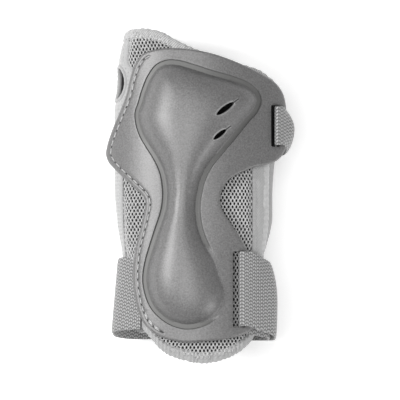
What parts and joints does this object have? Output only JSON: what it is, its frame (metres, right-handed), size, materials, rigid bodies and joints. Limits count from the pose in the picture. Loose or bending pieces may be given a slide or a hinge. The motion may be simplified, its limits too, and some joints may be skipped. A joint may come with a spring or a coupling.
{
  "type": "wrist guard",
  "caption": "Left-hand wrist guard: hourglass moulded palm shell on a padded open-mesh sleeve with a thumb hole, closed by a wide wrist strap and a narrow hand strap with hook tails.",
  "frame": {"origin": "centre of the footprint, on the surface that the guard lies on with its palm side up", "axes": "+Y towards the fingers, +X towards the little-finger side, +Z out of the palm"},
  "size_m": [0.1034, 0.181, 0.0644],
  "materials": {
    "shell_plastic": "satin moulded plastic with a fine grain",
    "thread": "bonded polyester thread",
    "spacer_mesh": "open spacer mesh",
    "foam": "black padding foam",
    "lining": "brushed jersey lining",
    "stretch_knit": "smooth stretch knit",
    "twill_tape": "twill binding tape",
    "webbing": "woven elastic webbing",
    "loop_tape": "brushed loop tape",
    "hook_tape": "moulded hook tape",
    "splint_plastic": "smooth stiff plastic"
  },
  "bodies": {
    "guard": {"palm_shell": "shell_plastic", "shell_stitches": "thread", "palm_mesh": "spacer_mesh", "palm_foam": "foam", "palm_lining": "lining", "dorsal_panel": "stretch_knit", "dorsal_foam": "foam", "dorsal_lining": "lining", "thumb_gusset": "stretch_knit", "thumb_hole_binding": "stretch_knit", "side_gusset": "stretch_knit", "thumb_seam_binding": "twill_tape", "side_seam_binding": "twill_tape", "hand_end_binding": "twill_tape", "forearm_end_binding": "twill_tape", "back_end_binding": "twill_tape", "splint_pocket": "twill_tape", "dorsal_splint": "splint_plastic", "wrist_strap_band": "webbing", "hand_strap_band": "webbing", "wrist_loop_patch": "loop_tape", "hand_loop_patch": "loop_tape", "hand_strap_tacks": "thread"},
    "wrist_strap_swing": {"wrist_strap_free": "webbing"},
    "wrist_strap_peel": {"wrist_strap_tail": "webbing", "wrist_hook_patch": "hook_tape"},
    "hand_strap_swing": {"hand_strap_free": "webbing"},
    "hand_strap_peel": {"hand_strap_tail": "webbing", "hand_hook_patch": "hook_tape"}
  },
  "joints": [
    {"name": "wrist_strap_bar", "type": "hinge", "parent": "guard", "child": "wrist_strap_swing", "pos_m": [0.0265, -0.051, 0.0502], "axis": [0, -1, 0], "range_deg": [0, 80]},
    {"name": "wrist_tail_fold", "type": "hinge", "parent": "wrist_strap_swing", "child": "wrist_strap_peel", "pos_m": [0.0278, -0.058, 0.0008], "axis": [0, -1, 0], "range_deg": [0, 110]},
    {"name": "hand_strap_bar", "type": "hinge", "parent": "guard", "child": "hand_strap_swing", "pos_m": [0.0432, 0.0375, 0.0416], "axis": [0, -1, 0], "range_deg": [0, 80]},
    {"name": "hand_tail_fold", "type": "hinge", "parent": "hand_strap_swing", "child": "hand_strap_peel", "pos_m": [0.0377, 0.0347, 0.0007], "axis": [0, -1, 0], "range_deg": [0, 110]}
  ]
}
